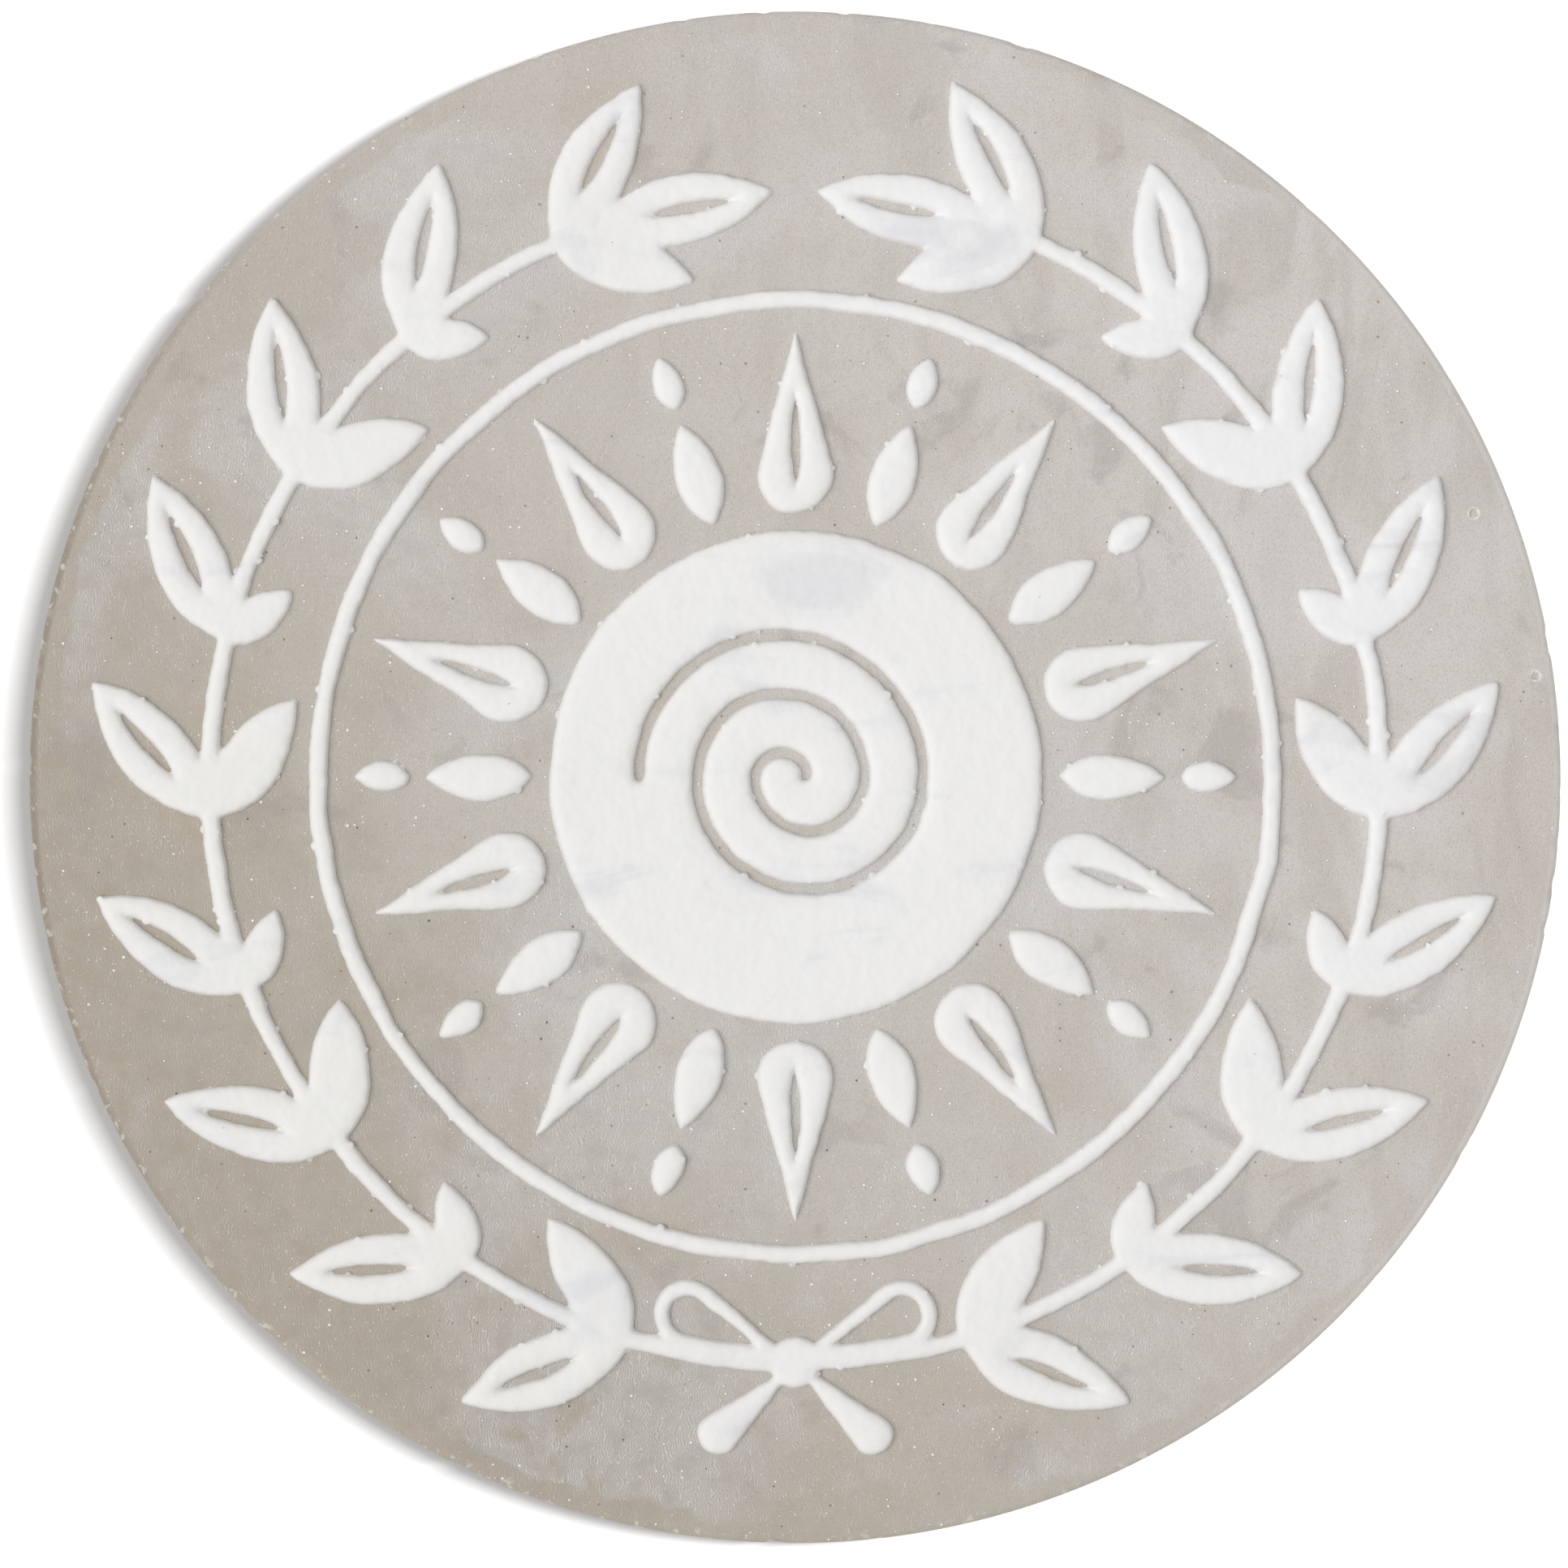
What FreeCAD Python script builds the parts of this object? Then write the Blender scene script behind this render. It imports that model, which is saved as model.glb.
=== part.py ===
import FreeCAD, Part
import os
from math import asin, cos, degrees, pi, radians, sin, sqrt, tan

# A round garden stepping stone, cast in one piece from fine concrete, lying on its flat back.
# The mould gives it a drafted side, a small chamfer at the rim and a raised ornament on the face:
# a sun with a spiral in its disc, a ring, and a wreath of leaves and buds tied with a bow.
# Millimetres. The origin is the centre of the back, +Z is up through the face, and +Y is the
# side of the ornament that is shown uppermost.

# The slab
STONE_DIAMETER = 305.0      # across the foot of the side, where the cast is widest
GROUND_HEIGHT = 23.0        # from the back to the plain ground between the raised shapes
SIDE_DRAFT_DEG = 3.0        # lets the cast leave its mould
RIM_CHAMFER = 0.8           # between the side and the face
BACK_CHAMFER = 1.0          # between the side and the back

# What every raised shape shares
RELIEF_HEIGHT = 2.0
RELIEF_DRAFT_DEG = 14.0     # slope of the raised walls from upright
ROOT_DEPTH = 1.0            # a shape is built from this far down inside the slab
GROOVE_WIDTH = 2.2          # of a line left bare inside a raised shape, at the ground

# The wreath
PLAIN_MARGIN = 11.0         # bare stone between the rim and the tips of the outer leaves
STEM_WIDTH = 3.4
TOP_GAP = 9.0               # between the two end leaves at the top
LEAF_PITCH = 33.0           # the least, along the stem from one leaf to the next
LEAF_LENGTH = 36.0
LEAF_WIDTH = 14.0
LEAF_SLANT_DEG = 37.0       # between an outer leaf and the stem
INNER_LEAF_LENGTH = 29.0
INNER_LEAF_WIDTH = 12.0
INNER_LEAF_SLANT_DEG = 39.0
LEAF_WIDEST_AT = 0.44       # share of a leaf's length, from its base
VEIN_START = 10.0           # from the base of an outer leaf to its bare midrib
VEIN_END_MARGIN = 6.0       # white left beyond the midrib, towards the tip
LAST_PAIR_BACK = 9.0        # from the last pair of leaves to the end of the stem
BUD_LENGTH = 17.0
BUD_WIDTH = 8.0

# The bow
BOW_ROOM = 33.0             # along the stem, from the knot to the first leaf
KNOT_DIAMETER = 10.0
LOOP_LENGTH = 30.0
LOOP_WIDTH = 14.0
LOOP_STROKE = 3.0
LOOP_RISE_DEG = 24.0        # of the loops above level
TAIL_LENGTH = 25.0
TAIL_WIDTH = 8.0
TAIL_SPREAD_DEG = 47.0      # of the tails to either side of straight down

# The ring
RING_GAP = 4.0              # between the wreath's inner leaves and the ring
RING_WIDTH = 3.4

# The sun
SUN_GAP = 4.5               # between the ring and the tips of the rays
RAY_LENGTH = 36.0
RAY_PITCH = 32.0            # the least, from one long ray to the next at their feet
RAY_WIDTH = 15.0
RAY_GAP = 3.5               # between the disc and the rays
RAY_GROOVE_START = 5.0      # white left between the foot of a ray and its bare line
RAY_GROOVE_LENGTH = 19.0
FLAME_LENGTH = 21.0
FLAME_WIDTH = 9.0
SPARK_GAP = 3.0             # from a flame to the spark beyond it
SPARK_LENGTH = 11.0
SPARK_WIDTH = 6.0
SPIRAL_PITCH = 11.5         # from one turn of the bare spiral to the next
SPIRAL_START_RADIUS = 5.0
SPIRAL_MARGIN = 6.0         # white left between the spiral and the edge of the disc

STONE_RADIUS = STONE_DIAMETER / 2
CROWN_HEIGHT = GROUND_HEIGHT + RELIEF_HEIGHT
FACE_RADIUS = STONE_RADIUS - GROUND_HEIGHT * tan(radians(SIDE_DRAFT_DEG))
RELIEF_SLOPE = tan(radians(RELIEF_DRAFT_DEG))
ORIGIN = FreeCAD.Vector(0, 0, 0)
UP = FreeCAD.Vector(0, 0, 1)

# The wreath sits as far out as its margin allows, and the ring and the sun follow inwards.
LEAF_SLANT = radians(LEAF_SLANT_DEG)
INNER_LEAF_SLANT = radians(INNER_LEAF_SLANT_DEG)
WREATH_RADIUS = FACE_RADIUS - PLAIN_MARGIN
STEM_RADIUS = sqrt(WREATH_RADIUS**2 - (LEAF_LENGTH * cos(LEAF_SLANT)) ** 2) - LEAF_LENGTH * sin(LEAF_SLANT)
INNER_TIP_RADIUS = sqrt(
    (STEM_RADIUS - INNER_LEAF_LENGTH * sin(INNER_LEAF_SLANT)) ** 2
    + (INNER_LEAF_LENGTH * cos(INNER_LEAF_SLANT)) ** 2
)
RING_RADIUS = INNER_TIP_RADIUS - RING_GAP - RING_WIDTH
RAY_TIP_RADIUS = RING_RADIUS - SUN_GAP
RAY_FOOT_RADIUS = RAY_TIP_RADIUS - RAY_LENGTH
DISC_RADIUS = RAY_FOOT_RADIUS - RAY_GAP


def on_circle(centre, radius, angle):
    return centre + FreeCAD.Vector(radius * cos(angle), radius * sin(angle), 0)


def arc(centre, radius, start, end):
    """Part of a circle, from one angle to another in radians, either way round."""
    points = [on_circle(centre, radius, angle) for angle in (start, (start + end) / 2, end)]
    return Part.Arc(*points).toShape()


# An outline below is a function: it gives the closed wire at a height, moved inwards by an inset.
# All the arcs keep their centres then, so the wires at two heights have matching edges.


def round_outline(radius):
    def wire(inset, height):
        halves = [arc(UP * height, radius - inset, turn * pi, (turn + 1) * pi) for turn in (0, 1)]
        return Part.Wire(halves)

    return wire


def leaf_outline(start, length, width):
    """A leaf along +X from a start, pointed at both ends, with two tangent arcs on each side of it."""
    half_width = width / 2
    base_reach = LEAF_WIDEST_AT * length
    tip_reach = length - base_reach
    base_radius, tip_radius = [(reach**2 / half_width + half_width) / 2 for reach in (base_reach, tip_reach)]
    widest = FreeCAD.Vector(start + base_reach, 0, 0)
    to_base_centre = FreeCAD.Vector(0, base_radius - half_width, 0)
    to_tip_centre = FreeCAD.Vector(0, tip_radius - half_width, 0)

    def wire(inset, height):
        base = base_radius - inset
        tip = tip_radius - inset
        # The angles at which the arcs of the two sides cross
        base_angle = pi - asin(to_base_centre.y / base)
        tip_angle = asin(to_tip_centre.y / tip)
        edges = [
            arc(widest - to_tip_centre, tip, pi / 2, tip_angle),
            arc(widest + to_tip_centre, tip, -tip_angle, -pi / 2),
            arc(widest + to_base_centre, base, -pi / 2, -base_angle),
            arc(widest - to_base_centre, base, base_angle, pi / 2),
        ]
        return Part.Wire(edges).translated(UP * height)

    return wire


def drop_outline(point_x, round_x, width):
    """A drop along the X axis, from its point to the far side of its round end, which may lie either way."""
    radius = width / 2
    way = 1 if round_x > point_x else -1
    centre = FreeCAD.Vector(round_x - way * radius, 0, 0)
    half_point = asin(radius / abs(centre.x - point_x))
    far = 0 if way > 0 else pi
    touch = pi / 2 + half_point

    def wire(inset, height):
        taken = radius - inset
        point = centre - FreeCAD.Vector(way * taken / sin(half_point), 0, 0)
        edges = [
            Part.makeLine(point, on_circle(centre, taken, far + touch)),
            arc(centre, taken, far + touch, far - touch),
            Part.makeLine(on_circle(centre, taken, far - touch), point),
        ]
        return Part.Wire(edges).translated(UP * height)

    return wire


def stroke_outline(path, width):
    """A line of even width with round ends, along a path of tangent arcs that all turn left.

    Each arc of the path is its centre, radius, start angle and end angle.
    """
    first_centre, first_radius, first_angle, _ = path[0]
    last_centre, last_radius, _, last_angle = path[-1]

    def wire(inset, height):
        half = width / 2 - inset
        edges = [arc(centre, radius + half, start, end) for centre, radius, start, end in path]
        edges.append(arc(on_circle(last_centre, last_radius, last_angle), half, last_angle, last_angle + pi))
        edges += [arc(centre, radius - half, end, start) for centre, radius, start, end in reversed(path)]
        edges.append(arc(on_circle(first_centre, first_radius, first_angle), half, first_angle - pi, first_angle))
        return Part.Wire(edges).translated(UP * height)

    return wire


def drafted(outline, bottom, top, slope):
    """The solid between two heights whose outline is true at the ground and leans inwards by the slope."""
    wires = [outline((height - GROUND_HEIGHT) * slope, height) for height in (bottom, top)]
    return Part.makeLoft(wires, True, True)


def raised(outline, *bare_outlines):
    """A raised shape, rooted in the slab. A bare outline goes right through it, wider at the top."""
    root = GROUND_HEIGHT - ROOT_DEPTH
    solid = drafted(outline, root, CROWN_HEIGHT, RELIEF_SLOPE)
    for bare in bare_outlines:
        solid = solid.cut(drafted(bare, root - ROOT_DEPTH, CROWN_HEIGHT + ROOT_DEPTH, -RELIEF_SLOPE))
    return solid


def placed(solid, at, angle):
    """A copy moved to a point and turned about it, by an angle in radians."""
    copy = solid.copy()
    copy.Placement = FreeCAD.Placement(at, FreeCAD.Rotation(UP, degrees(angle)))
    return copy


def slab():
    """The plain cast, turned from half of its section."""
    section = [
        (0, 0),
        (STONE_RADIUS - BACK_CHAMFER, 0),
        (STONE_RADIUS, BACK_CHAMFER),
        (FACE_RADIUS, GROUND_HEIGHT - RIM_CHAMFER),
        (FACE_RADIUS - RIM_CHAMFER, GROUND_HEIGHT),
        (0, GROUND_HEIGHT),
        (0, 0),
    ]
    profile = Part.makePolygon([FreeCAD.Vector(x, 0, z) for x, z in section])
    return Part.Face(profile).revolve(ORIGIN, UP, 360)


def sun():
    """A disc with a bare spiral in it, and round it long rays and short flames by turns."""
    path = []
    step = SPIRAL_PITCH / 2
    room = DISC_RADIUS - SPIRAL_MARGIN - step - SPIRAL_START_RADIUS
    for turn in range(max(1, int(room / step))):
        # Half turns about two centres by turns, each wider than the last by half the pitch
        centre = FreeCAD.Vector((turn % 2 - 0.5) * step, 0, 0)
        path.append((centre, SPIRAL_START_RADIUS + turn * step, turn * pi, (turn + 1) * pi))
    solids = [raised(round_outline(DISC_RADIUS), stroke_outline(path, GROOVE_WIDTH))]

    ray = raised(
        drop_outline(RAY_TIP_RADIUS, RAY_FOOT_RADIUS, RAY_WIDTH),
        leaf_outline(RAY_FOOT_RADIUS + RAY_GROOVE_START, RAY_GROOVE_LENGTH, GROOVE_WIDTH),
    )
    flame = raised(leaf_outline(RAY_FOOT_RADIUS, FLAME_LENGTH, FLAME_WIDTH))
    spark = raised(leaf_outline(RAY_FOOT_RADIUS + FLAME_LENGTH + SPARK_GAP, SPARK_LENGTH, SPARK_WIDTH))
    count = int(2 * pi * RAY_FOOT_RADIUS / RAY_PITCH)
    for number in range(count):
        angle = pi / 2 + number * 2 * pi / count
        between = angle + pi / count
        solids.append(placed(ray, ORIGIN, angle))
        solids.append(placed(flame, ORIGIN, between))
        solids.append(placed(spark, ORIGIN, between))
    return solids


def ring():
    return [raised(round_outline(RING_RADIUS + RING_WIDTH), round_outline(RING_RADIUS))]


def wreath():
    """One stem round the foot of the stone with its ends at the top, and leaves and buds up both sides."""
    end = pi - (LEAF_LENGTH + TOP_GAP / 2) / STEM_RADIUS
    stem = [(ORIGIN, STEM_RADIUS, -pi / 2 - end, -pi / 2 + end)]
    solids = [raised(stroke_outline(stem, STEM_WIDTH))]

    vein_length = LEAF_LENGTH - VEIN_START - VEIN_END_MARGIN
    outer_leaf = raised(
        leaf_outline(0, LEAF_LENGTH, LEAF_WIDTH),
        leaf_outline(VEIN_START, vein_length, GROOVE_WIDTH),
    )
    inner_leaf = raised(leaf_outline(0, INNER_LEAF_LENGTH, INNER_LEAF_WIDTH))
    bud = raised(leaf_outline(0, BUD_LENGTH, BUD_WIDTH))

    first = BOW_ROOM / STEM_RADIUS
    last = end - LAST_PAIR_BACK / STEM_RADIUS
    gaps = max(1, int((last - first) * STEM_RADIUS / LEAF_PITCH))
    for number in range(gaps + 1):
        along = first + (last - first) * number / gaps
        for side in (1, -1):
            at_angle = -pi / 2 + side * along
            at = on_circle(ORIGIN, STEM_RADIUS, at_angle)
            onward = at_angle + side * pi / 2
            solids.append(placed(outer_leaf, at, onward - side * LEAF_SLANT))
            inner = bud if number % 2 else inner_leaf
            solids.append(placed(inner, at, onward + side * INNER_LEAF_SLANT))

    # The end leaf is a chord of the stem's circle, from the end of the stem onwards.
    for side in (1, -1):
        end_angle = -pi / 2 + side * end
        bend = LEAF_LENGTH / 2 / STEM_RADIUS
        at = on_circle(ORIGIN, STEM_RADIUS, end_angle)
        solids.append(placed(outer_leaf, at, end_angle + side * (pi / 2 + bend)))
    return solids


def bow():
    """The tie at the foot of the wreath: a knot, two open loops towards the sun and two tails outwards."""
    knot_centre = on_circle(ORIGIN, STEM_RADIUS, -pi / 2)
    solids = [placed(raised(round_outline(KNOT_DIAMETER / 2)), knot_centre, 0)]
    hole_start = KNOT_DIAMETER / 2 + LOOP_STROKE
    hole = drop_outline(hole_start, LOOP_LENGTH - LOOP_STROKE, LOOP_WIDTH - 2 * LOOP_STROKE)
    loop = raised(drop_outline(0, LOOP_LENGTH, LOOP_WIDTH), hole)
    tail = raised(drop_outline(0, TAIL_LENGTH, TAIL_WIDTH))
    rise = radians(LOOP_RISE_DEG)
    spread = radians(TAIL_SPREAD_DEG)
    solids += [placed(loop, knot_centre, angle) for angle in (rise, pi - rise)]
    solids += [placed(tail, knot_centre, -pi / 2 + angle) for angle in (spread, -spread)]
    return solids


def stepping_stone():
    """The whole cast: the slab and all that is raised on it are one solid."""
    cast = slab().fuse(sun() + ring() + wreath() + bow())
    return cast.removeSplitter()


os.makedirs("parts", exist_ok=True)
stone = stepping_stone()
stone.exportStep("parts/stepping_stone.step")
print("solids", len(stone.Solids), "faces", len(stone.Faces), "valid", stone.isValid())
print("volume in cubic centimetres", round(stone.Volume / 1000, 1))
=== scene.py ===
# %% [markdown]
# A round garden stepping stone
#
# The real object is one casting: fine concrete is poured over a carved mould, and when the cast is
# turned over, the carving stands about two millimetres proud of the face. The raised parts are then
# painted white with a roller, and the ground between them stays bare concrete.
#
# The size, the outline of every raised shape and the flat back come from the construction model.
# This lesson gives that exact but hard shape the look of a cast and painted thing.

# %% Load the construction model
import math
import random

import bmesh
import bpy
from mathutils import Matrix, Vector, noise


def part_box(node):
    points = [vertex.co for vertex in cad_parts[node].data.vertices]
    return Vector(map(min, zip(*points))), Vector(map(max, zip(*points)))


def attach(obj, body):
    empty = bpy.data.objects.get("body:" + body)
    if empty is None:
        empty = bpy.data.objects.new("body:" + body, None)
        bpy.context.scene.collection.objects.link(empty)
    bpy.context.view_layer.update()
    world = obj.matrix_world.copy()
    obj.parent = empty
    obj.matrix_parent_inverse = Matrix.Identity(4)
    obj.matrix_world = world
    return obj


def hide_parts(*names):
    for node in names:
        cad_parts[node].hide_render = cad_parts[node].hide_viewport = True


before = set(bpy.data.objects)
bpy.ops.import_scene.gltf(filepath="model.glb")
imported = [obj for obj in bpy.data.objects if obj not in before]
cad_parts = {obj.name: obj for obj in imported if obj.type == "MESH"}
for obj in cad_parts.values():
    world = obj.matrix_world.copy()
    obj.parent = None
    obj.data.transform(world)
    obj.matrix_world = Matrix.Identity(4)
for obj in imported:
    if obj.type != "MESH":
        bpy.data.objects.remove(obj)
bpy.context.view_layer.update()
NODE = "stepping_stone"
node_low, node_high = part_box(NODE)
MM = 0.001
print("stone", [round((high - low) / MM, 1) for low, high in zip(node_low, node_high)], "mm")

# %% [markdown]
# ## Reading the casting
#
# The construction model arrives as loose triangles with knife-sharp edges. It could be shown as it
# is, but thick paint on a worn mould has no sharp edge anywhere. So the lesson reads three things
# from it: the level of the plain ground, the shapes that stand above it, and the section of the
# rim. The slab and the raised shapes are then finished apart, and joined again at the end.

# %% Weld the triangles and find the ground
WELD = 0.002 * MM
LEVEL_STEP = 0.01 * MM
UPWARD = 0.9999

cast = bmesh.new()
cast.from_mesh(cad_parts[NODE].data)
bmesh.ops.remove_doubles(cast, verts=cast.verts[:], dist=WELD)
levels = {round(f.calc_center_median().z / LEVEL_STEP) for f in cast.faces if f.normal.z > UPWARD}
crown_z, ground_z = [level * LEVEL_STEP for level in sorted(levels, reverse=True)[:2]]
relief = crown_z - ground_z
print("ground at", round(ground_z / MM, 2), "mm, relief", round(relief / MM, 2), "mm")

# %% [markdown]
# ## The raised shapes
#
# Everything above the ground is kept: the flat tops and the walls round them. One extrusion of all
# these faces, with the old ones pressed flat below the ground, closes every shape into a solid. Its
# root will be buried in the slab, as the roots of the shapes are in the real casting.

# %% Lift the raised shapes off the casting
ROOT = 1.6 * MM

raised = cast.copy()
low_faces = [f for f in raised.faces if max(v.co.z for v in f.verts) < ground_z + LEVEL_STEP]
bmesh.ops.delete(raised, geom=low_faces, context="FACES")
old_faces = raised.faces[:]
bmesh.ops.extrude_face_region(raised, geom=old_faces, use_keep_orig=True)
for vert in {v for f in old_faces for v in f.verts}:
    vert.co.z = ground_z - ROOT
bmesh.ops.recalc_face_normals(raised, faces=raised.faces[:])
print("raised faces", len(raised.faces), "open edges", sum(e.is_boundary for e in raised.edges))

# %% [markdown]
# ## A thick, soft skin
#
# The shoulders of the real shapes are as round as piped icing, and where a leaf meets its stem the
# paint has filled the corner. A bevel would break at the many sharp tips. A voxel remesh doesn't
# mind them: it wraps all the shapes in one even skin, which a few rounds of smoothing then relax.
# More rounds, which move the upper points only up or down, let the shoulders of the paint sag and
# leave the outlines where they are.

# %% Wrap, relax and sag the skin
SKIN_STEP = 0.45 * MM
RELAX_ROUNDS = 13
SAG_FROM = 0.7 * MM
SAG_ROUNDS = 20


def evaluated(item):
    """The mesh of an object with all its modifiers applied."""
    return bpy.data.meshes.new_from_object(item.evaluated_get(bpy.context.evaluated_depsgraph_get()))


def object_of(name, mesh):
    """A new object in the scene, from a bmesh that is no longer needed."""
    data = bpy.data.meshes.new(name)
    mesh.to_mesh(data)
    mesh.free()
    item = bpy.data.objects.new(name, data)
    bpy.context.scene.collection.objects.link(item)
    return item


skin = object_of("raised_shapes", raised)
wrap = skin.modifiers.new("wrap", "REMESH")
wrap.mode = "VOXEL"
wrap.voxel_size = SKIN_STEP
relax = skin.modifiers.new("relax", "SMOOTH")
relax.factor = 0.5
relax.iterations = RELAX_ROUNDS
coat = bmesh.new()
coat.from_mesh(evaluated(skin))
bpy.data.objects.remove(skin)
sagging = [v for v in coat.verts if v.co.z > ground_z + SAG_FROM]
for _ in range(SAG_ROUNDS):
    bmesh.ops.smooth_vert(coat, verts=sagging, factor=0.5, use_axis_z=True)
print("skin faces", len(coat.faces), "highest", round(max(v.co.z for v in coat.verts) / MM, 2), "mm")

# %% [markdown]
# ## An unsteady hand
#
# The lines of the mould wander by a few tenths of a millimetre, and its flats are never quite flat.
# Each of these is smooth noise of its own length, so neighbouring points move together. Samples
# far apart in the same noise give directions that don't follow each other.
#
# Here and there a small round nib of paint hangs on a wall. Noise made of cells has one point in
# each cell, and where such a point happens to lie near a wall, the wall is pushed out round it.
#
# All this is done while the skin still has a point every half millimetre. Decimation then takes out
# the points that the flats don't need, and leaves them where the skin bends.

# %% Let the lines wander and the paint pile up
WANDER = ((11.0 * MM, 0.5 * MM), (3.0 * MM, 0.2 * MM), (1.3 * MM, 0.08 * MM))
SWELL = ((30.0 * MM, 0.16 * MM), (7.0 * MM, 0.1 * MM))
FILM = 0.16 * MM
NIB_CELL = 4.6 * MM
NIB_RADIUS = 0.95 * MM
NIB_SHARES = (0.65, 0.35)
NIB_REACH = 0.7 * MM
BURIED = 0.9 * MM
KEPT_SHARE = 0.2
FAR_APART = Vector((37.0, 11.0, 5.0))


def wave(place, length, sample):
    return noise.noise(place / length + FAR_APART * sample)


def wandered(place):
    """Where a point of the mould's face really is."""
    flat = Vector((place.x, place.y, 0))
    shift = Vector((0, 0, 0))
    for length, reach in WANDER:
        shift += Vector((wave(flat, length, 1), wave(flat, length, 2), 0)) * reach
    for length, reach in SWELL:
        shift.z += wave(flat, length, 3) * reach
    return place + shift


def film_on(vert):
    """The shift from the mould's face out to the face of the paint, with a nib where one hangs."""
    distances, centres = noise.voronoi(vert.co / NIB_CELL)
    radius = NIB_RADIUS * (NIB_SHARES[0] + NIB_SHARES[1] * noise.cell(centres[0]))
    bulge = max(0.0, 1 - (distances[0] * NIB_CELL / radius) ** 2) ** 0.5
    outwards = Vector((vert.normal.x, vert.normal.y, 0))
    return vert.normal * FILM + outwards * bulge * NIB_REACH


lifted = [v for v in coat.verts if v.co.z > ground_z - BURIED]
shifts = [film_on(v) for v in lifted]
for vert, shift in zip(lifted, shifts):
    vert.co = wandered(vert.co) + shift
shapes = object_of("raised_shapes", coat)
thin = shapes.modifiers.new("thin", "DECIMATE")
thin.ratio = KEPT_SHARE
print("points moved", len(lifted), "share of faces kept", KEPT_SHARE)

# %% [markdown]
# ## The slab
#
# The slab is round, so its edge is one section spun about the middle. The section is read from the
# casting's outermost points, and the spin has enough steps for small chips. The two round holes
# that the band leaves are closed with one face each, and the rim and the back edge are softened.

# %% Spin the edge of the slab
SPIN_STEPS = 600
RIM_SHARE = 0.97

stone_radius = (node_high[0] - node_low[0]) / 2
section = {}
for vert in cast.verts:
    radius = vert.co.xy.length
    if radius > stone_radius * RIM_SHARE:
        level = round(vert.co.z / LEVEL_STEP)
        section[level] = max(radius, section.get(level, 0.0))
cast.free()
foot_level, shoulder_level = sorted(section)[1], sorted(section)[-2]
face_radius = section[shoulder_level]
print("section of", len(section), "points, face", round(face_radius / MM, 2), "mm in radius")

slab = bmesh.new()
points = [slab.verts.new((radius, 0, level * LEVEL_STEP)) for level, radius in sorted(section.items())]
band = [slab.edges.new(pair) for pair in zip(points, points[1:])]
bmesh.ops.spin(
    slab,
    geom=points + band,
    cent=(0, 0, 0),
    axis=(0, 0, 1),
    angle=2 * math.pi,
    steps=SPIN_STEPS,
    use_merge=True,
    use_duplicate=False,
)
for z in (0.0, ground_z):
    hole = [e for e in slab.edges if e.is_boundary and abs(e.verts[0].co.z - z) < LEVEL_STEP]
    bmesh.ops.contextual_create(slab, geom=hole)
bmesh.ops.recalc_face_normals(slab, faces=slab.faces[:])
print("slab faces", len(slab.faces))

# %% Soften the rim and the back edge
RIM_SOFTENING = 0.45 * MM
RIM_ANGLE = math.radians(15)
FLAT_MARGIN = 1.5 * MM

corners = [e for e in slab.edges if e.calc_face_angle() > RIM_ANGLE]
bmesh.ops.bevel(
    slab,
    geom=corners,
    offset=RIM_SOFTENING,
    offset_type="OFFSET",
    segments=2,
    profile=0.5,
    affect="EDGES",
    clamp_overlap=False,
    material=-1,
)
flats = [f for f in slab.faces if abs(f.normal.z) > UPWARD and len(f.verts) > SPIN_STEPS / 2]
bmesh.ops.inset_region(slab, faces=flats, thickness=FLAT_MARGIN, use_even_offset=True)
print("softened edges", len(corners), "flat faces", len(flats))

# %% Wear and chip the rim
ROUNDNESS = (95.0 * MM, 0.35 * MM)
CHIP_LENGTH = 3.4 * MM
CHIP_FROM = 0.42
CHIP_REACH = 2.6 * MM
CHIP_DEPTH = 3.0 * MM


def worn(place):
    """The rim is a little out of round, and small crumbs are missing from its upper corner."""
    outwards = Vector((place.x, place.y, 0)).normalized()
    shift = outwards * ROUNDNESS[1] * wave(place, ROUNDNESS[0], 5)
    upper = min(1.0, max(0.0, 1 - (ground_z - place.z) / CHIP_DEPTH))
    chip = CHIP_REACH * upper * max(0.0, wave(place, CHIP_LENGTH, 6) - CHIP_FROM)
    return place + shift - outwards * chip


rim = [v for v in slab.verts if v.co.xy.length > stone_radius * RIM_SHARE]
for vert in rim:
    vert.co = worn(vert.co)
print("points worn", len(rim))
stone = object_of("cast_stone", slab)

# %% [markdown]
# ## Air bubbles
#
# When concrete is poured, air is caught against the mould and leaves small round holes. They are
# real hollows here: little balls that sit a bit below the surface and are cut out of the slab, so
# that each mouth is narrower than its hole and looks dark from every side. Two wide shallow scars
# and a knock on the rim are listed one by one. The rest are scattered by a seeded draw, the same
# each run, and lie closer together to the lower left, where the mix ran in last. The side has
# larger ones, because air climbs along the upright wall of a mould.

# %% Blow the bubbles
BUBBLE_DRAWS = 420
BUBBLE_RADII = (0.16 * MM, 0.34 * MM)
BUBBLE_DEPTH = 0.55
BACK_BUBBLE_SHARE = 0.35
CROWDING = 0.35
SIDE_BUBBLES = 90
SIDE_BUBBLE_RADII = (0.25 * MM, 1.1 * MM)
SIDE_BUBBLE_HEIGHTS = (0.08, 0.92)
RARELY_LARGE = 4
SCARS = (
    (134.0 * MM, 52.0 * MM, 0.6 * MM, 1.2 * MM),
    (146.2 * MM, 20.0 * MM, 0.7 * MM, 1.2 * MM),
    (59.4 * MM, 138.8 * MM, 0.1 * MM, 0.6 * MM),
)
SCAR_LUMPS = (0.8 * MM, 0.35 * MM)

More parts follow.
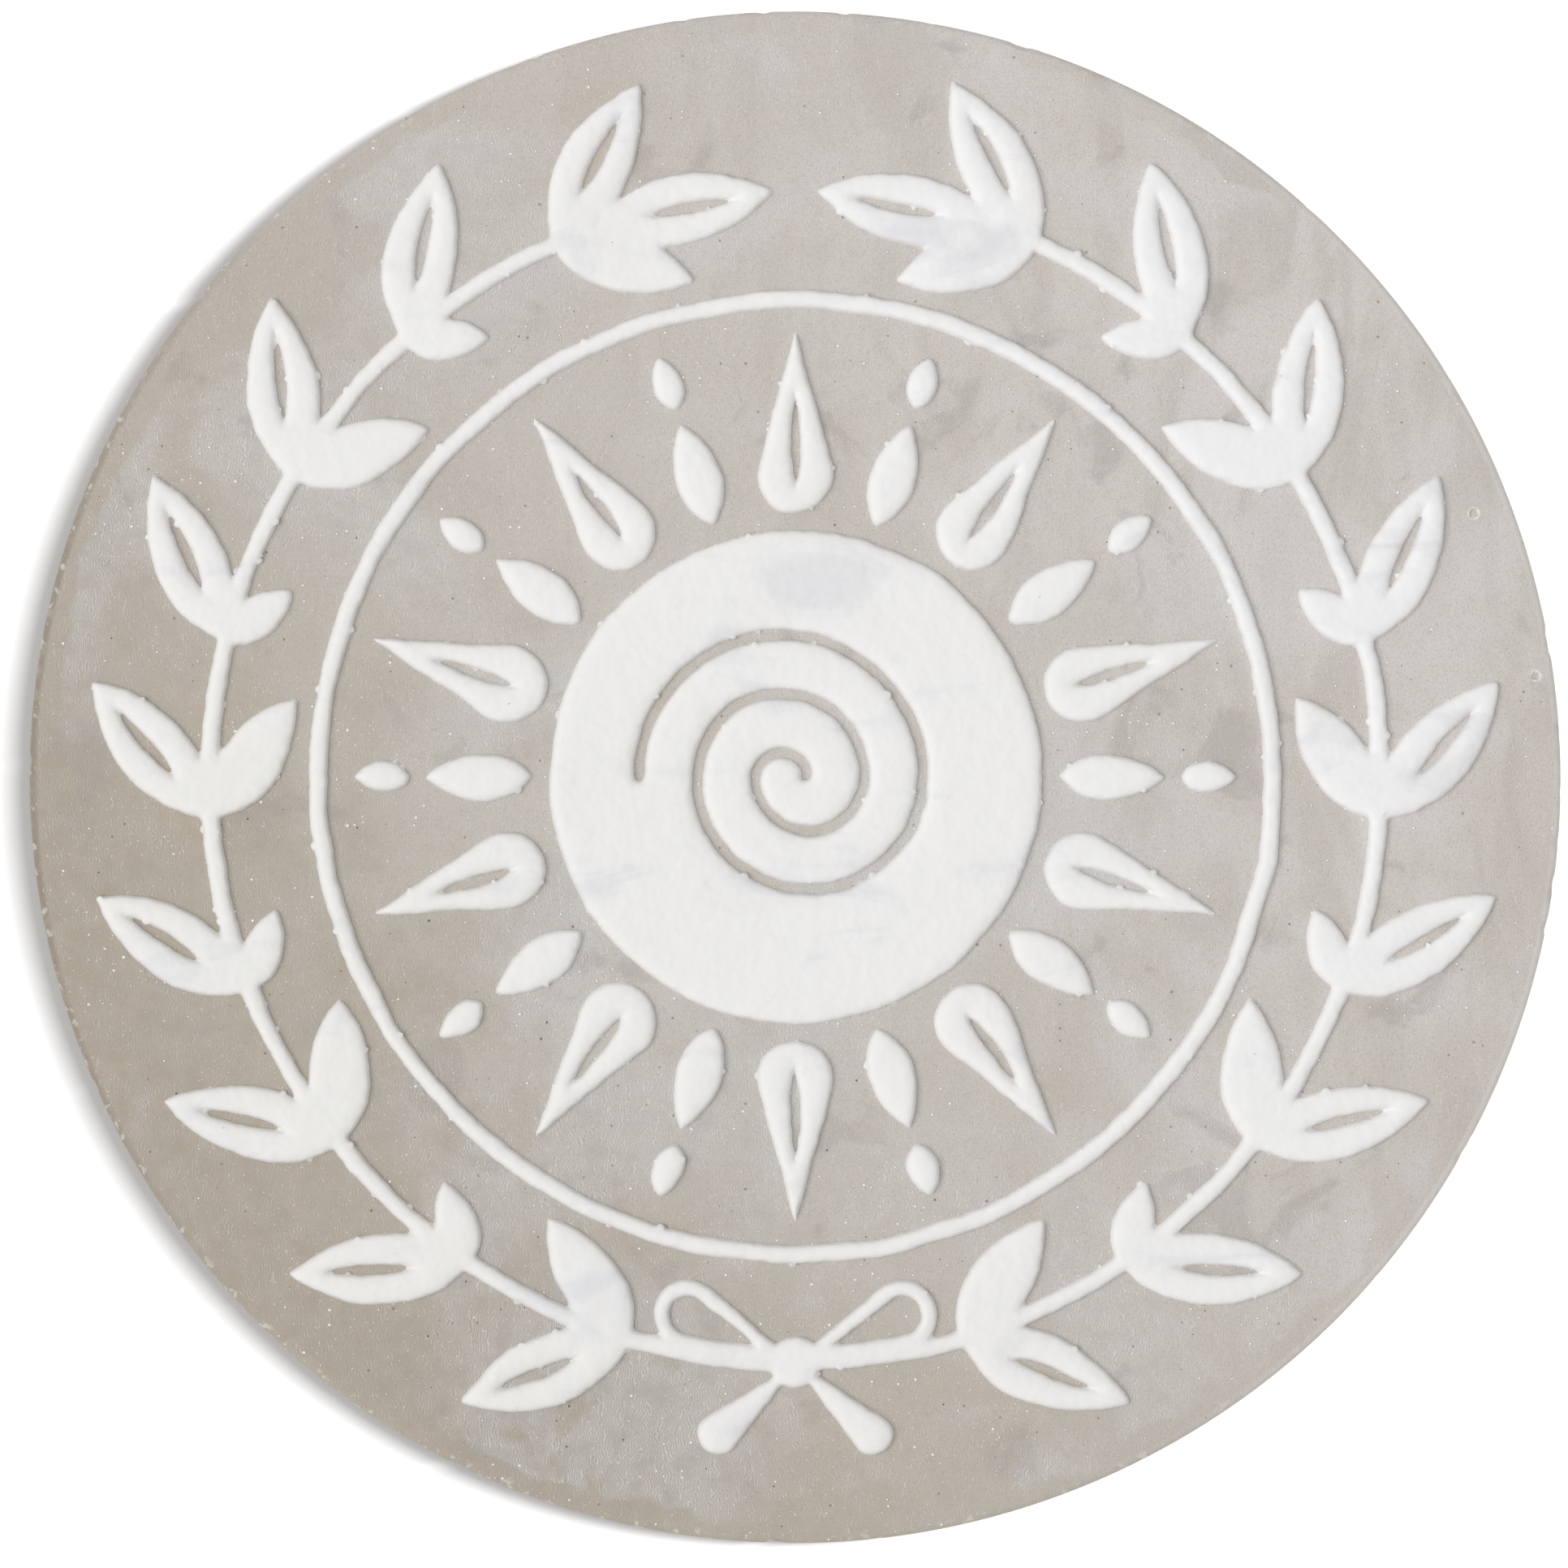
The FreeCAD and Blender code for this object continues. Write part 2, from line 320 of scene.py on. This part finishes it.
draw = random.Random(7)
bubbles = bmesh.new()
for x, y, height, radius in SCARS:
    ball = Matrix.Translation((x, y, ground_z + height))
    scar = bmesh.ops.create_icosphere(bubbles, subdivisions=3, radius=radius, matrix=ball)
    for vert in scar["verts"]:
        outwards = (vert.co - ball.translation).normalized()
        vert.co += outwards * wave(vert.co, SCAR_LUMPS[0], 7) * SCAR_LUMPS[1]
for _ in range(BUBBLE_DRAWS):
    reach = stone_radius * draw.random() ** 0.5
    angle = draw.uniform(0, 2 * math.pi)
    place = Vector((reach * math.cos(angle), reach * math.sin(angle), 0))
    radius = draw.uniform(*BUBBLE_RADII)
    at_back = draw.random() < BACK_BUBBLE_SHARE
    crowding = CROWDING * (1 - (place.x + place.y) / stone_radius)
    if reach > stone_radius - FLAT_MARGIN * 2 or draw.random() > crowding:
        continue
    place.z = radius * BUBBLE_DEPTH if at_back else ground_z - radius * BUBBLE_DEPTH
    bmesh.ops.create_icosphere(bubbles, subdivisions=2, radius=radius, matrix=Matrix.Translation(place))
for _ in range(SIDE_BUBBLES):
    share = draw.uniform(*SIDE_BUBBLE_HEIGHTS)
    angle = draw.uniform(0, 2 * math.pi)
    smallest, largest = SIDE_BUBBLE_RADII
    radius = smallest + (largest - smallest) * draw.random() ** RARELY_LARGE
    reach = stone_radius + (face_radius - stone_radius) * share - radius * BUBBLE_DEPTH
    level = foot_level + (shoulder_level - foot_level) * share
    place = worn(Vector((reach * math.cos(angle), reach * math.sin(angle), level * LEVEL_STEP)))
    bmesh.ops.create_icosphere(bubbles, subdivisions=3, radius=radius, matrix=Matrix.Translation(place))
print("faces on the bubbles", len(bubbles.faces))
air = object_of("air_bubbles", bubbles)

# %% [markdown]
# ## One stone
#
# The air is taken out of the slab by a boolean difference. Slab and shapes are one casting, so a
# boolean union then makes one closed skin of them and throws away the buried roots. What stands
# above the ground is painted. The line where paint meets concrete stays crisp, and every other bend
# is shaded smooth.

# %% Cut the bubbles, then join slab and shapes
SMOOTH_ANGLE = math.radians(42)
CONCRETE, PAINT, BACK = range(3)
BACK_DEPTH = 0.3 * MM

for operation, other in (("DIFFERENCE", air), ("UNION", shapes)):
    step = stone.modifiers.new(operation.lower(), "BOOLEAN")
    step.operation = operation
    step.solver = "MANIFOLD"
    step.object = other
joined = bmesh.new()
joined.from_mesh(evaluated(stone))
stone.modifiers.clear()
bpy.data.objects.remove(shapes)
bpy.data.objects.remove(air)


def finish_at(height):
    """Which finish a face has, by the height of its middle."""
    if height > ground_z + LEVEL_STEP:
        return PAINT
    return BACK if height < BACK_DEPTH else CONCRETE


for face in joined.faces:
    face.smooth = True
    face.material_index = finish_at(face.calc_center_median().z)
for edge in joined.edges:
    coats = {f.material_index for f in edge.link_faces}
    edge.smooth = len(coats) == 1 and edge.calc_face_angle(0.0) < SMOOTH_ANGLE
print("triangles", len(joined.calc_loop_triangles()), "open edges", sum(e.is_boundary for e in joined.edges))
joined.to_mesh(stone.data)
joined.free()

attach(stone, "root")
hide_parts(NODE)

# %% [markdown]
# ## Colours and nodes
#
# Colours are written as sRGB hex values, as a picker shows them, and one function turns them to the
# linear values that the shaders need. A second small function adds a node with its settings and its
# links, so that each finish below reads as a list of steps.

# %% Two helpers for every material


def linear(code):
    """An sRGB hex colour as linear red, green, blue and alpha."""
    channels = [int(code[i : i + 2], 16) / 255 for i in (1, 3, 5)]
    return tuple(c / 12.92 if c <= 0.04045 else ((c + 0.055) / 1.055) ** 2.4 for c in channels) + (1.0,)


def add(material, kind, inputs=None, **settings):
    """A node of a kind, with its settings, and for each input a value or the socket that feeds it."""
    tree = material.node_tree
    node = tree.nodes.new(kind)
    for name, value in settings.items():
        setattr(node, name, value)
    for name, value in (inputs or {}).items():
        socket = node.inputs[name]
        if isinstance(value, bpy.types.NodeSocket):
            tree.links.new(value, socket)
        else:
            socket.default_value = value
    return node


# %% [markdown]
# ## How a stain is laid
#
# Every finish on this stone is a base colour with stains over it: clouds of cement, haze, dust,
# specks of paint. A cloud mask is soft noise with its middle range stretched. A speck mask is one
# round spot in some of the cells of a honeycomb, each of its own size. Masks are multiplied to find
# where all of them hold.

# %% Masks of clouds and specks
SPECK_CORE = 0.55


def overlap(material, *masks):
    """Where several masks hold together. A mask is a socket or, where it is the same all over, a number."""
    common = masks[0]
    for mask in masks[1:]:
        common = add(material, "ShaderNodeMath", {0: common, 1: mask}, operation="MULTIPLY").outputs[0]
    return common


def clouds(material, place, size, start, full, detail=3.0, distortion=0.0):
    """A soft mask with patches of about a size, in metres: none below the start, all above the full."""
    cloud = add(
        material,
        "ShaderNodeTexNoise",
        {"Vector": place, "Scale": 1 / size, "Detail": detail, "Roughness": 0.55, "Distortion": distortion},
    )
    stretched = {"Value": cloud.outputs["Fac"], "From Min": start, "From Max": full}
    return add(material, "ShaderNodeMapRange", stretched, interpolation_type="SMOOTHSTEP").outputs["Result"]


def specks(material, place, pitch, widest, share):
    """A mask of round spots up to a width across, in a share of the cells of a pitch."""
    cells = add(material, "ShaderNodeTexVoronoi", {"Vector": place, "Scale": 1 / pitch})
    lot = add(material, "ShaderNodeSeparateColor", {"Color": cells.outputs["Color"]}).outputs
    chosen = add(material, "ShaderNodeMath", {0: lot["Green"], 1: share}, operation="LESS_THAN").outputs[0]
    outer = overlap(material, lot["Red"], widest / pitch / 2)
    core = overlap(material, outer, SPECK_CORE)
    inside = {"Value": cells.outputs["Distance"], "From Min": outer, "From Max": core}
    spot = add(material, "ShaderNodeMapRange", inside, interpolation_type="SMOOTHSTEP").outputs["Result"]
    return overlap(material, spot, chosen)


# %% [markdown]
# A stain is a colour that is mixed in through a mask, more or less strongly. The Mix node has a set
# of sockets for each kind of data, many with the same name, so those for colours are picked by number.
#
# Concrete and masonry paint are both dull dielectrics. What tells them apart is colour, roughness
# and the small heights in the surface, which a bump gives without any new points.

# %% Stains, and the end of every material
MIX_FACTOR, MIX_BELOW, MIX_ABOVE, MIX_COLOUR = 0, 6, 7, 2


def stained(material, below, mask, strength, stain):
    """A colour with a stain over it, which is a hex colour or comes from a socket."""
    above = linear(stain) if isinstance(stain, str) else stain
    layers = {MIX_FACTOR: overlap(material, mask, strength), MIX_BELOW: below, MIX_ABOVE: above}
    return add(material, "ShaderNodeMix", layers, data_type="RGBA").outputs[MIX_COLOUR]


def surfaced(material, colour, roughness, height, depth):
    """Close a material: a dull dielectric with a colour, and a height map of a depth in metres."""
    bump = add(material, "ShaderNodeBump", {"Strength": 1.0, "Distance": depth, "Height": height})
    shader = add(
        material,
        "ShaderNodeBsdfPrincipled",
        {"Base Color": colour, "Roughness": roughness, "IOR": 1.5, "Normal": bump.outputs["Normal"]},
    )
    add(material, "ShaderNodeOutputMaterial", {"Surface": shader.outputs["BSDF"]})


def new_material(name):
    material = bpy.data.materials.new(name)
    material.use_nodes = True
    material.node_tree.nodes.clear()
    return material


# %% [markdown]
# ## Fair-faced cast concrete
#
# Concrete straight from a smooth mould is a warm, matte grey in which no stones show. It is browner
# and darker to the lower left and paler to the upper right. This drift is partly the concrete's own
# tone and partly painted light, for light that falls stronger on the upper right. One mask gives
# that drift, and the paint uses it too, as painted light.

# %% The drift of tone and painted light across the stone
TONE_WAY = (0.84, 0.54, 0.0)
DARK_SIDE = -92 * MM
PALE_SIDE = 143 * MM
TONE_DRIFT = 50 * MM


def towards_pale_and_lit_side(material, place):
    """A mask of tone and painted light that grows from none at the lower left to all at the upper right."""
    along = add(material, "ShaderNodeVectorMath", {0: place, 1: TONE_WAY}, operation="DOT_PRODUCT")
    drift = clouds(material, place, 70 * MM, 0.25, 0.75)
    drifted = {0: drift, 1: TONE_DRIFT, 2: along.outputs["Value"]}
    side = add(material, "ShaderNodeMath", drifted, operation="MULTIPLY_ADD").outputs[0]
    sides = {"Value": side, "From Min": DARK_SIDE, "From Max": PALE_SIDE}
    return add(material, "ShaderNodeMapRange", sides).outputs["Result"]


# %% [markdown]
# The mould has a fine grain, and the concrete has taken its print: a wavy ripple that comes and
# goes, drawn at its real pitch of half a millimetre. A wave texture of scale 1 repeats every tenth
# of pi, so its scale follows from that.

# %% The fine ripple
RIPPLE_PITCH = 0.5 * MM
WAVE_REPEAT = math.pi / 10


def rippled(material, place):
    """A mask of the crests of a fine wavy ripple, which comes and goes."""
    bent = {"Distortion": 15.0, "Detail": 1.5, "Detail Scale": 0.7}
    bands = {"Vector": place, "Scale": WAVE_REPEAT / RIPPLE_PITCH, **bent}
    ripple = add(material, "ShaderNodeTexWave", bands, bands_direction="X")
    crests = {"Value": ripple.outputs["Fac"], "From Min": 0.35, "From Max": 0.95}
    upper = add(material, "ShaderNodeMapRange", crests).outputs["Result"]
    return overlap(material, upper, clouds(material, place, 4.0 * MM, 0.3, 0.62))


# %% [markdown]
# The paint roller has left a cool haze on the ground, most of all in one ragged patch at the lower
# left. It missed a band along the rim, whose inner edge wavers.

# %% Where the roller has been
RIM_BAND = 5.0 * MM
BAND_DRIFT = 6.0 * MM
BAND_EDGE = 1.5 * MM
HAZE_SHIFT = (0.31, 0.17, 0.0)
PATCH_MIDDLE = (-38 * MM, -130 * MM, 0)
PATCH_REACH = (40 * MM, 22 * MM)


def off_the_rim(material, place, reach):
    """A mask of the ground inside the band that the roller missed."""
    wavering = {0: clouds(material, place, 16 * MM, 0.2, 0.8, 6.0), 1: BAND_DRIFT, 2: reach}
    edge = add(material, "ShaderNodeMath", wavering, operation="MULTIPLY_ADD").outputs[0]
    band_start = face_radius - RIM_BAND + BAND_DRIFT / 2
    off_band = {"Value": edge, "From Min": band_start + BAND_EDGE, "From Max": band_start}
    return add(material, "ShaderNodeMapRange", off_band, interpolation_type="SMOOTHSTEP").outputs["Result"]


def hazed(material, place, flat):
    """A mask of the haze: one ragged patch, and clouds elsewhere."""
    off_patch = add(material, "ShaderNodeVectorMath", {0: flat, 1: PATCH_MIDDLE}, operation="DISTANCE")
    near = {"Value": off_patch.outputs["Value"], "From Min": PATCH_REACH[0], "From Max": PATCH_REACH[1]}
    at_patch = add(material, "ShaderNodeMapRange", near).outputs["Result"]
    patch = overlap(material, at_patch, clouds(material, place, 15 * MM, 0.32, 0.46, 7.0, 1.0))
    elsewhere = add(material, "ShaderNodeVectorMath", {0: place, 1: HAZE_SHIFT}).outputs["Vector"]
    veils = {0: patch, 1: clouds(material, elsewhere, 42 * MM, 0.48, 0.64, 6.0, 0.6)}
    return add(material, "ShaderNodeMath", veils, operation="MAXIMUM").outputs[0]


# %% [markdown]
# Rolling also throws fine dust and small splashes of paint, which crowd together in some places.
# The concrete has a few dark grains of grit of its own.

# %% Dust, grit and splashes


def sprinkled(material, place, colour):
    """A colour with dust, grit and splashes over it, and the masks of the last two."""
    dust = specks(material, place, 0.75 * MM, 0.45 * MM, clouds(material, place, 22 * MM, 0.35, 0.68, 5.0))
    crowding = {"Value": clouds(material, place, 32 * MM, 0.46, 0.66, 5.0), "To Min": 0.18, "To Max": 0.9}
    crowded = add(material, "ShaderNodeMapRange", crowding).outputs["Result"]
    splashes = specks(material, place, 1.7 * MM, 0.85 * MM, crowded)
    grit = specks(material, place, 2.4 * MM, 0.6 * MM, 0.35)
    colour = stained(material, colour, dust, 0.65, "#e2e0dc")
    colour = stained(material, colour, grit, 0.5, "#6a6054")
    return stained(material, colour, splashes, 1.0, "#f2f0ed"), grit, splashes


# %% [markdown]
# The upper corner of the rim is painted darker on the left, a painted shade, and paler on the
# right, a painted highlight. A few flakes of cement cling to it.
# The two scars have a white broken ring round their mouths, a painted highlight on the lit edge of each pit.

# %% Painted shade and light on the rim, and painted highlights round the scars
CORNER = 1.3 * MM
CORNER_HEIGHT = (2.0 * MM, 1.0 * MM)
RIM_SHADE_SIDE = (-100 * MM, -148 * MM)
RIM_LIGHT_SIDE = (60 * MM, 130 * MM)
SCAR_HIGHLIGHT_RISE = (0.65, 0.85)
SCAR_HIGHLIGHT_FALL = (1.35, 1.1)


def rim_light_shade_and_flakes(material, place, reach, colour):
    """A colour with painted shade on the left and painted light on the right of the rim's upper corner, and
    flakes, over it.
    """
    outer = {"Value": reach, "From Min": face_radius - CORNER * 1.5, "From Max": face_radius - CORNER / 2}
    outermost = add(material, "ShaderNodeMapRange", outer, interpolation_type="SMOOTHSTEP").outputs["Result"]
    axes = add(material, "ShaderNodeSeparateXYZ", {"Vector": place}).outputs
    under = [ground_z - drop for drop in CORNER_HEIGHT]
    upper = {"Value": axes["Z"], "From Min": under[0], "From Max": under[1]}
    not_low = add(material, "ShaderNodeMapRange", upper).outputs["Result"]
    corner = overlap(material, outermost, not_low, clouds(material, place, 4 * MM, 0.2, 0.5))
    # Painted shade on the left of the rim's corner, painted light on the right.
    for (start, full), stain in ((RIM_SHADE_SIDE, "#857b6c"), (RIM_LIGHT_SIDE, "#e0dcd4")):
        that_side = {"Value": axes["X"], "From Min": start, "From Max": full}
        on_that_side = add(material, "ShaderNodeMapRange", that_side).outputs["Result"]
        colour = stained(material, colour, overlap(material, corner, on_that_side), 0.7, stain)
    flakes = overlap(material, corner, clouds(material, place, 2.5 * MM, 0.58, 0.64))
    return stained(material, colour, flakes, 0.6, "#dcd8cc")


def highlighted_scars(material, place, flat, colour):
    """A colour with a painted highlight, a broken white ring, round the mouth of each scar."""
    for x, y, height, radius in SCARS[:2]:
        mouth = math.sqrt(radius**2 - height**2)
        away = add(material, "ShaderNodeVectorMath", {0: flat, 1: (x, y, 0)}, operation="DISTANCE")
        slopes = []
        for start, full in (SCAR_HIGHLIGHT_RISE, SCAR_HIGHLIGHT_FALL):
            slope = {"Value": away.outputs["Value"], "From Min": mouth * start, "From Max": mouth * full}
            slopes.append(add(material, "ShaderNodeMapRange", slope).outputs["Result"])
        ring = overlap(material, *slopes, clouds(material, place, 0.9 * MM, 0.35, 0.5))
        # The white ring is a painted highlight for the lit edge of the pit.
        colour = stained(material, colour, ring, 0.85, "#edeae5")
    return colour


# %% [markdown]
# All of it comes together here, from the concrete itself out to what lies on it: the drift of tone
# and painted light, a pale veil of wiped cement in the middle with streaks the way the cloth went,
# brown and pinkish clouds, then the haze, the ripple, and a grain of sand drawn at its real 0.3 mm.

# %% Fair-faced cast concrete
VEIL_REACH = (140 * MM, 30 * MM)
WIPED = (1 / (13.0 * MM), 1 / (45.0 * MM), 1.0)


def fair_faced_concrete():
    material = new_material("fair_faced_cast_concrete")
    place = add(material, "ShaderNodeTexCoord").outputs["Object"]
    flat = add(material, "ShaderNodeVectorMath", {0: place, 1: (1, 1, 0)}, operation="MULTIPLY").outputs[0]
    reach = add(material, "ShaderNodeVectorMath", {0: flat}, operation="LENGTH").outputs["Value"]
    tone = towards_pale_and_lit_side(material, place)
    # The drift to a paler upper right is partly the concrete's own tone and partly painted light.
    colour = stained(material, linear("#aca294"), tone, 1.0, "#d6d1cd")
    inwards = {"Value": reach, "From Min": VEIL_REACH[0], "From Max": VEIL_REACH[1]}
    middle = add(material, "ShaderNodeMapRange", inwards).outputs["Result"]
    veil = overlap(material, middle, clouds(material, place, 26 * MM, 0.25, 0.6, 5.0))
    colour = stained(material, colour, veil, 0.68, "#d1cfcb")
    wiped = add(material, "ShaderNodeMapping", {"Vector": place, "Scale": WIPED}).outputs["Vector"]
    streaks = overlap(material, tone, clouds(material, wiped, 1.0, 0.44, 0.68, 4.0, 1.0))
    colour = stained(material, colour, streaks, 0.5, "#bcb6ae")
    colour = stained(material, colour, clouds(material, place, 45 * MM, 0.5, 0.72), 0.25, "#b3a894")
    colour = stained(material, colour, clouds(material, place, 6 * MM, 0.45, 0.75), 0.2, "#c9bbae")

    rolled = off_the_rim(material, place, reach)
    haze = overlap(material, hazed(material, place, flat), rolled)
    film = stained(material, linear("#b9b9b9"), tone, 1.0, "#d8d6d5")
    colour = stained(material, colour, haze, 0.45, film)
    smudges = overlap(material, clouds(material, place, 19 * MM, 0.58, 0.68, 4.0, 0.8), rolled)
    colour = stained(material, colour, smudges, 0.36, "#9f9b97")
    crests = rippled(material, place)
    colour = stained(material, colour, overlap(material, crests, haze), 0.45, "#e2e0de")
    colour = stained(material, colour, crests, 0.27, "#dedad3")
    colour = stained(material, colour, clouds(material, place, 0.3 * MM, 0.45, 0.75), 0.4, "#978d80")

    colour, grit, splashes = sprinkled(material, place, colour)
    colour = rim_light_shade_and_flakes(material, place, reach, colour)
    colour = highlighted_scars(material, place, flat, colour)
    marks = add(material, "ShaderNodeMath", {0: crests, 1: 0.2, 2: splashes}, operation="MULTIPLY_ADD")
    height = add(material, "ShaderNodeMath", {0: marks.outputs[0], 1: grit}, operation="SUBTRACT")
    surfaced(material, colour, 0.85, height.outputs[0], 0.16 * MM)
    return material


# %% [markdown]
# ## Floated concrete
#
# The back was the open side of the mould, so it never touched one. It was levelled with a wooden
# float while the mix was wet, which leaves wide faint arcs and a sandy skin, paler where fine
# cement has come up. The sand is half a millimetre to a millimetre in grain, and no paint
# reaches it. Rings from a wave texture, centred far outside the stone, make the arcs.

# %% The levelled back
ARC_PITCH = 17.0 * MM
ARC_MIDDLE = (0.21, -0.16, 0.0)


def floated_concrete():
    material = new_material("floated_concrete")
    place = add(material, "ShaderNodeTexCoord").outputs["Object"]
    swung = add(material, "ShaderNodeMapping", {"Vector": place, "Location": ARC_MIDDLE}).outputs["Vector"]
    bent = {"Distortion": 5.0, "Detail": 3.0, "Detail Scale": 0.6}
    rings = {"Vector": swung, "Scale": WAVE_REPEAT / ARC_PITCH, **bent}
    arcs = add(material, "ShaderNodeTexWave", rings, wave_type="RINGS", rings_direction="Z").outputs["Fac"]
    pale = clouds(material, place, 30 * MM, 0.35, 0.7)
    colour = stained(material, linear("#b3aca1"), pale, 0.8, "#c4beb5")
    colour = stained(material, colour, arcs, 0.3, "#cbc6be")
    colour = stained(material, colour, clouds(material, place, 5 * MM, 0.45, 0.7), 0.3, "#a1998c")
    sand = clouds(material, place, 0.7 * MM, 0.4, 0.7)
    colour = stained(material, colour, sand, 0.3, "#8f8678")
    ridges = add(material, "ShaderNodeMath", {0: arcs, 1: 0.8, 2: sand}, operation="MULTIPLY_ADD")
    surfaced(material, colour, 0.9, ridges.outputs[0], 0.3 * MM)
    return material


# %% [markdown]
# ## Masonry paint
#
# The white is masonry paint, dull and thick, rolled over the raised shapes. It covers so well that
# it is nearly one colour, only a little greyer to the lower left and paler to the upper right, which
# is painted light. The eye knows it for paint by its faults: a cooler smudge where the coat is thin,
# drawn out the way the roller went, a few crumbs of cement caught in it, and a surface that is a
# little uneven.

# %% White paint, rolled on
ROLLED = (0.6, 1.4, 1.0)


def masonry_paint():
    material = new_material("white_masonry_paint")
    place = add(material, "ShaderNodeTexCoord").outputs["Object"]
    rolled = add(material, "ShaderNodeMapping", {"Vector": place, "Scale": ROLLED}).outputs["Vector"]
    thin = clouds(material, rolled, 17 * MM, 0.53, 0.78, 5.0, 0.8)
    # Painted light: the paint drifts paler towards the upper right, where the light falls stronger.
    colour = stained(material, linear("#ebeae7"), towards_pale_and_lit_side(material, place), 1.0, "#f5f4f4")
    colour = stained(material, colour, thin, 0.75, "#dddce2")
    colour = stained(material, colour, clouds(material, place, 40 * MM, 0.5, 0.8), 0.4, "#e9e8e4")
    crumbs = specks(material, place, 7.0 * MM, 0.6 * MM, 0.3)
    colour = stained(material, colour, crumbs, 0.6, "#a8a299")
    uneven = clouds(material, place, 3.0 * MM, 0.2, 0.8, 1.5)
    surfaced(material, colour, 0.6, uneven, 0.14 * MM)
    return material


# %% Give the stone its finishes
for finish in (fair_faced_concrete, masonry_paint, floated_concrete):
    stone.data.materials.append(finish())
print("finishes", [material.name for material in stone.data.materials])

# %% [markdown]
# ## Floor, light and camera
#
# The stone lies on a white studio floor and is seen from straight above, through a long lens. The
# floor's own colour makes the background white, with a little glow that only the camera, mirrors
# and glass see, and the rest of it is ordinary matte paint, so it still takes the stone's shadow.
# It lies a hair below the stone's back, because two flat faces at one height would show through
# each other.

# %% Lay the floor
FLOOR_HALF_WIDTH = 3.0
FLOOR_GLOW = 0.15
FLOOR_DROP = 0.02 * MM

bm = bmesh.new()
drop = Matrix.Translation((0, 0, -FLOOR_DROP))
bmesh.ops.create_grid(bm, x_segments=1, y_segments=1, size=FLOOR_HALF_WIDTH, matrix=drop)
floor_mesh = bpy.data.meshes.new("floor")
bm.to_mesh(floor_mesh)
bm.free()
floor = bpy.data.objects.new("floor", floor_mesh)
bpy.context.scene.collection.objects.link(floor)


def studio_white():
    material = new_material("matte_white_studio_floor")
    rays = add(material, "ShaderNodeLightPath").outputs
    seen = rays["Is Camera Ray"]
    for ray in (rays["Is Glossy Ray"], rays["Is Transmission Ray"]):
        seen = add(material, "ShaderNodeMath", {0: seen, 1: ray}, operation="MAXIMUM").outputs[0]
    strength = overlap(material, seen, FLOOR_GLOW)
    glow = add(material, "ShaderNodeEmission", {"Color": linear("#ffffff"), "Strength": strength})
    matte = add(material, "ShaderNodeBsdfDiffuse", {"Color": linear("#d8d8d8")})
    lit = add(material, "ShaderNodeAddShader", {0: glow.outputs[0], 1: matte.outputs[0]})
    add(material, "ShaderNodeOutputMaterial", {"Surface": lit.outputs[0]})
    return material


floor_mesh.materials.append(studio_white())

# %% [markdown]
# ## Two softboxes and a bright room
#
# The relief is lit from the left, but the stone's shadow on the floor falls to the left too, which
# no single lamp does. Light linking solves it: one softbox lights the stone only, and the other,
# narrow and on the right, lights the floor only. The world is a white room that lights both.

# %% Hang the lamps
STONE_LAMP = {"place": (-1.3, -0.2, 2.2), "length": 1.7, "width": 1.7, "power": 34.0}
FLOOR_LAMP = {"place": (0.46, 0.09, 2.2), "length": 0.52, "width": 0.12, "power": 48.0}
ROOM_LIGHT = 0.56

scene = bpy.context.scene


def group_of(name, *objects):
    group = bpy.data.collections.new(name)
    for item in objects:
        group.objects.link(item)
    return group


def soft_lamp(name, place, length, width, power, lit):
    """An area lamp that faces the stone and lights some objects only. Its length points at the stone."""
    light = bpy.data.lights.new(name, "AREA")
    light.shape = "RECTANGLE"
    light.size = width
    light.size_y = length
    light.energy = power
    lamp = bpy.data.objects.new(name, light)
    lamp.location = place
    lamp.rotation_euler = (Vector((0, 0, 0)) - Vector(place)).to_track_quat("-Z", "Y").to_euler()
    scene.collection.objects.link(lamp)
    lamp.light_linking.receiver_collection = lit


soft_lamp("left_softbox", **STONE_LAMP, lit=group_of("lit_from_left", stone))
soft_lamp("right_softbox", **FLOOR_LAMP, lit=group_of("lit_from_right", floor))

world = bpy.data.worlds.new("studio_air")
world.use_nodes = True
room = world.node_tree.nodes["Background"].inputs
room["Color"].default_value = linear("#ffffff")
room["Strength"].default_value = ROOM_LIGHT
scene.world = world
scene.view_settings.view_transform = "Standard"

# %% [markdown]
# ## The view from above
#
# The picture is square, and the stone's face fills nearly all of it. The camera hangs high, looks
# straight down, and its lens is worked out so that the face is as wide in the frame as there. The
# face isn't quite in the middle of the picture, so the camera stands a little to one side.

# %% Set the camera
FRAME_PX = 1932
DISC_RADIUS_PX = 944.0
DISC_CENTRE_PX = (980.0, 957.3)
CAMERA_HEIGHT = 1.6
SENSOR = 36.0

rim_distance = CAMERA_HEIGHT - ground_z
camera_data = bpy.data.cameras.new("above")
camera_data.sensor_width = SENSOR
camera_data.lens = SENSOR * DISC_RADIUS_PX / FRAME_PX * rim_distance / face_radius
camera_data.clip_end = 20.0
camera = bpy.data.objects.new("above", camera_data)
px = face_radius / DISC_RADIUS_PX
camera.location = (
    -(DISC_CENTRE_PX[0] - FRAME_PX / 2) * px,
    (DISC_CENTRE_PX[1] - FRAME_PX / 2) * px,
    CAMERA_HEIGHT,
)
scene.collection.objects.link(camera)
scene.camera = camera
print("lens", round(camera_data.lens, 1), "mm")
